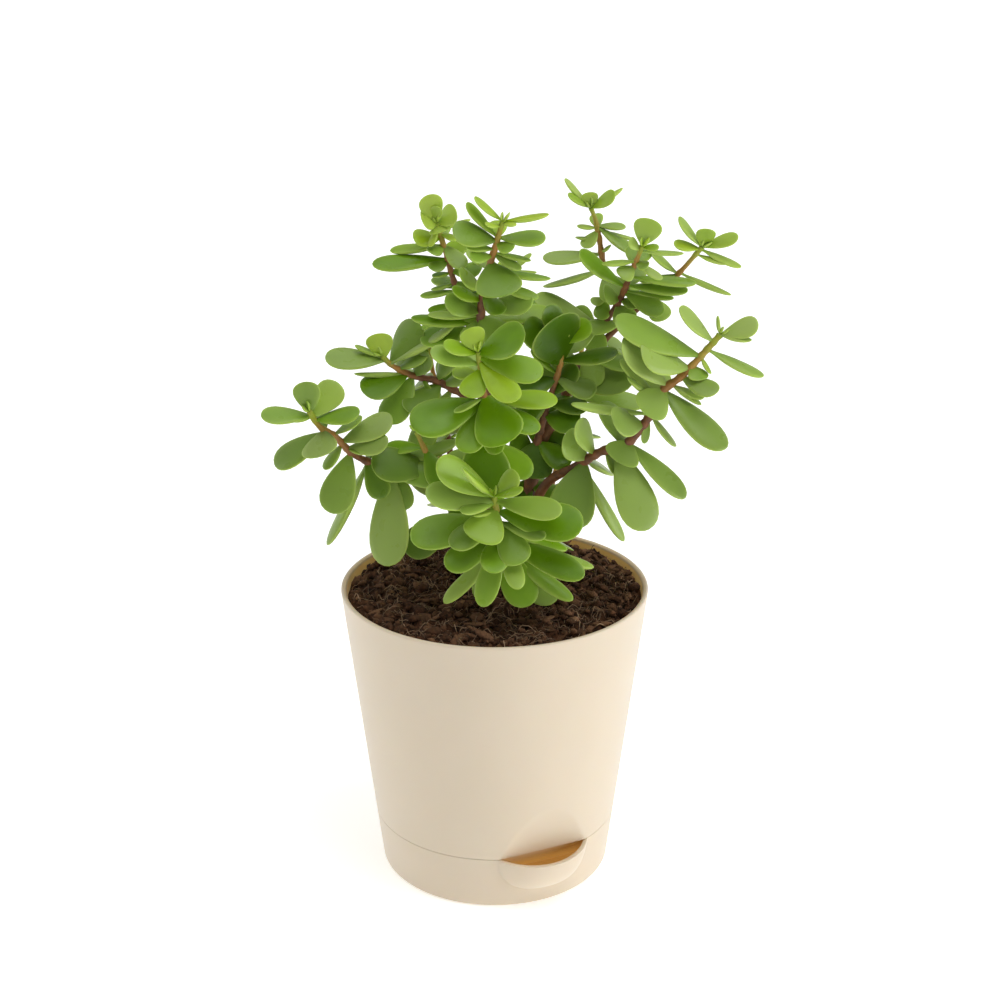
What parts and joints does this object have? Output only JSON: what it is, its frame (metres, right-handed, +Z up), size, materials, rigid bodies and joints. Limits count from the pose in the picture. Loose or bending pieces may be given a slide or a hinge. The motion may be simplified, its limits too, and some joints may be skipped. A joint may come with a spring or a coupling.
{
  "type": "potted jade plant",
  "caption": "Small-leaved jade plant with fleshy leaves on red-brown stems, in soil in a cream self-watering pot with a water inlet at its base.",
  "frame": {"origin": "centre of the reservoir base's flat underside, where the pot stands", "axes": "+Z up along the pot's axis, +X to the right and -Y to the front, with the water inlet at the front right"},
  "size_m": [0.1773, 0.1146, 0.2622],
  "materials": {
    "pot": "satin",
    "soil": "matte",
    "stem": "matte",
    "leaf": "satin"
  },
  "bodies": {
    "root": {"pot_body": "pot", "reservoir_base": "pot", "soil": "soil", "stem_left": "stem", "stem_centre": "stem", "stem_right": "stem", "shoot_left_low": "leaf", "shoot_left_mid": "leaf", "shoot_top_left": "leaf", "shoot_top_centre": "leaf", "shoot_front_centre": "leaf", "shoot_front_low": "leaf", "shoot_right_top": "leaf", "shoot_right_inner": "leaf", "shoot_right_outer": "leaf", "shoot_right_long": "leaf", "shoot_right_centre": "leaf", "shoot_left_inner": "leaf", "shoot_back_left": "leaf", "shoot_back_centre": "leaf", "shoot_back_right": "leaf", "shoot_back_low_left": "leaf", "shoot_back_low_right": "leaf"}
  },
  "joints": []
}
